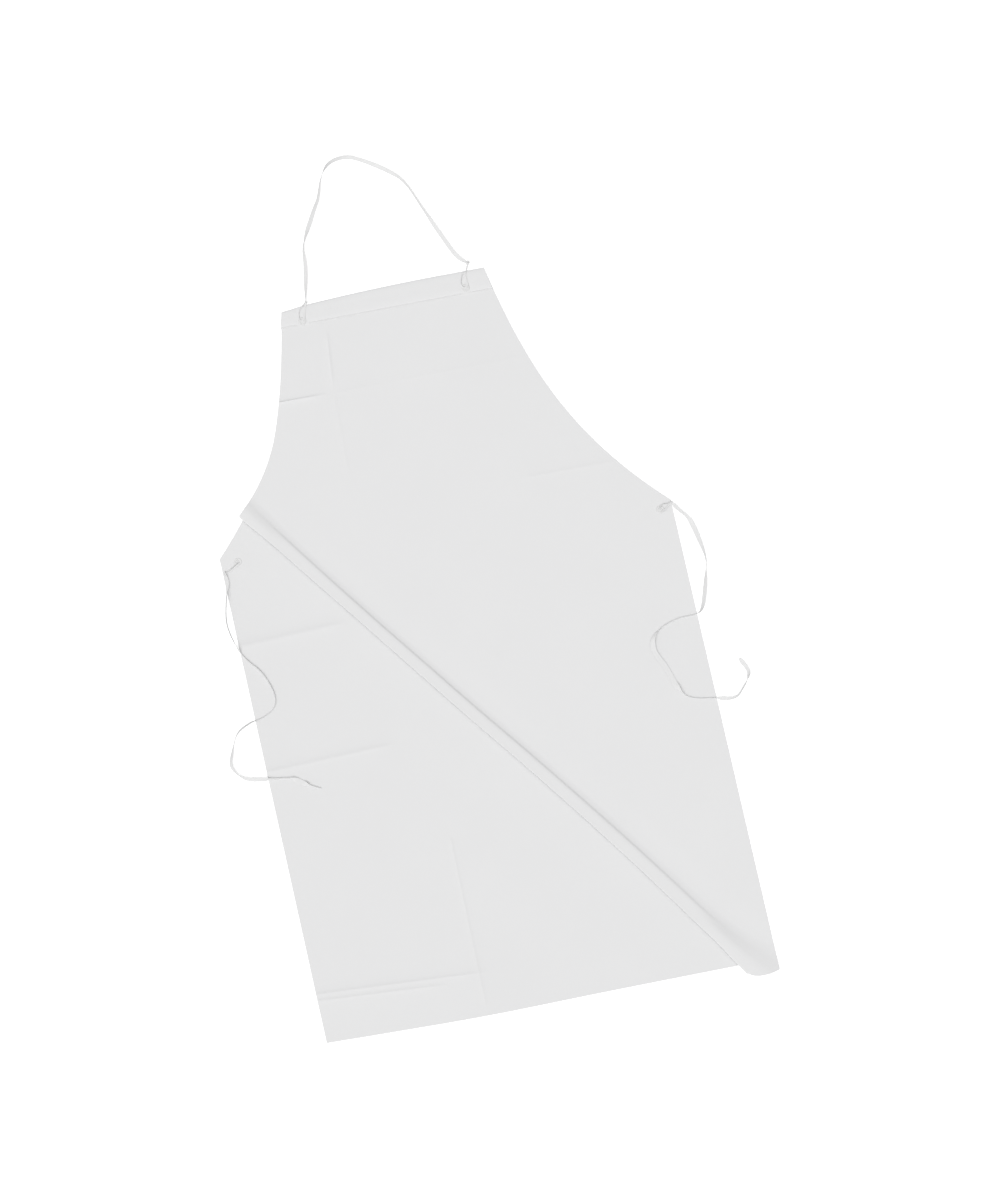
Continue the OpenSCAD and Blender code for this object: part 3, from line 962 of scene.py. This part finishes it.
def build_tapes():
    """Free tapes, knots and fixed tape ends, each on the body of its CAD solid."""
    sheet_edge = sheet_surface(sheet_outline())[:, :2]
    rows = (
        ("neck_loop_tape", "neck_tape", ("neck_knot_left", "neck_knot_right"), NECK_TURN, "neck_loop", True),
        ("left_tie", "waist_tie_left", ("waist_knot_left",), LEFT_TURN, "left_tie", False),
        ("right_tie", "waist_tie_right", ("waist_knot_right",), RIGHT_TURN, "right_tie", True),
    )
    for name, node, knots, turns, body, upper in rows:
        finish_tape(tape(name, node, knots, turns, sheet_edge, upper), body, node)
    rows = (
        ("neck_loop_knot_left", "neck_knot_left", (0.2, 1), "neck_loop"),
        ("neck_loop_knot_right", "neck_knot_right", (-0.5, 1), "neck_loop"),
        ("left_tie_knot", "waist_knot_left", (0, -1), "left_knot"),
        ("right_tie_knot", "waist_knot_right", (0.6, -0.8), "right_knot"),
    )
    for name, node, towards, body in rows:
        finish_tape(build_knot(name, node, towards), body, node)
    rows = (
        ("neck_end_left", "neck_anchor_left", "bib_eyelet_left", "neck_knot_left", "bib"),
        ("neck_end_right", "neck_anchor_right", "bib_eyelet_right", "neck_knot_right", "bib"),
        ("waist_end_left", "waist_anchor_left", "waist_eyelet_left", "waist_knot_left", "skirt"),
        ("waist_end_right", "waist_anchor_right", "waist_eyelet_right", "waist_knot_right", "skirt"),
    )
    for name, node, eyelet, knot, body in rows:
        finish_tape(build_anchor(name, node, eyelet, knot), body, node)


def finish_tape(obj, body, node):
    place(obj, TAPE, "tie_tape", node)
    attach(obj, body)


def dress_eyelets():
    """The eyelets and washers are the CAD solids themselves."""
    for name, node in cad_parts.items():
        if "eyelet" in name or "washer" in name:
            dress(node, ENAMEL)
            shade(node, 40)


# Stage, light and camera.

def camera_ray(tree):
    """1 for what the lens sees directly, and 0 for the light that falls on other things."""
    return add(tree, "ShaderNodeLightPath", output="Is Camera Ray")


def build_stage():
    """A pale floor just under the apron, which looks a little whiter than it lights the apron."""
    size, z = 6.0, -0.3 * MM
    floor = make_object("floor", [(-size, -size, z), (size, -size, z), (size, size, z), (-size, size, z)],
                        [(0, 1, 2, 3)])
    material, tree, shader = node_material("pale_floor")
    feed(tree, shader, {
        "Base Color": (0.82, 0.82, 0.82, 1),
        "Roughness": 0.95,
        "Specular IOR Level": 0,
        "Emission Color": (1, 1, 1, 1),
        "Emission Strength": maths(tree, "MULTIPLY", camera_ray(tree), 0.5),
    })
    dress(floor, material)


def sun_light(name, towards, angle, strength):
    """A very soft light from far away, shining along a direction."""
    light = bpy.data.lights.new(name, "SUN")
    light.angle = math.radians(angle)
    light.energy = strength
    link(name, light).rotation_euler = Vector(towards).to_track_quat("-Z", "Y").to_euler()


def light_scene():
    """Soft key light from the apron's lower left, and a white backdrop that lights less than it shows."""
    scene = bpy.context.scene
    scene.world = bpy.data.worlds.new("studio")
    scene.world.use_nodes = True
    tree = scene.world.node_tree
    lighting, extra = 0.54, 1.1
    feed(tree, tree.nodes["Background"], {
        0: (1, 1, 1, 1),
        1: maths(tree, "MULTIPLY_ADD", camera_ray(tree), extra, lighting),
    })
    scene.view_settings.view_transform = "Standard"
    sun_light("key", (0.32, 0.39, -1), 55, 1.87)


def place_camera():
    """The camera stands almost over the apron and looks down at it, turned a little."""
    azimuth, elevation, distance = math.radians(-12.44), math.radians(83), 4.5
    target = Vector((0, -0.150, 0))
    level = math.cos(elevation)
    back = Vector((math.sin(azimuth) * level, -math.cos(azimuth) * level, math.sin(elevation)))
    camera = bpy.data.cameras.new("camera")
    camera.lens = 90.2
    camera.sensor_width = 36
    camera.shift_x, camera.shift_y = 0.0318, 0.0387
    obj = link("camera", camera)
    obj.location = target + back * distance
    obj.rotation_euler = (-back).to_track_quat("-Z", "Y").to_euler()
    bpy.context.scene.camera = obj


build_cloth()
build_tapes()
dress_eyelets()
build_stage()
light_scene()
place_camera()
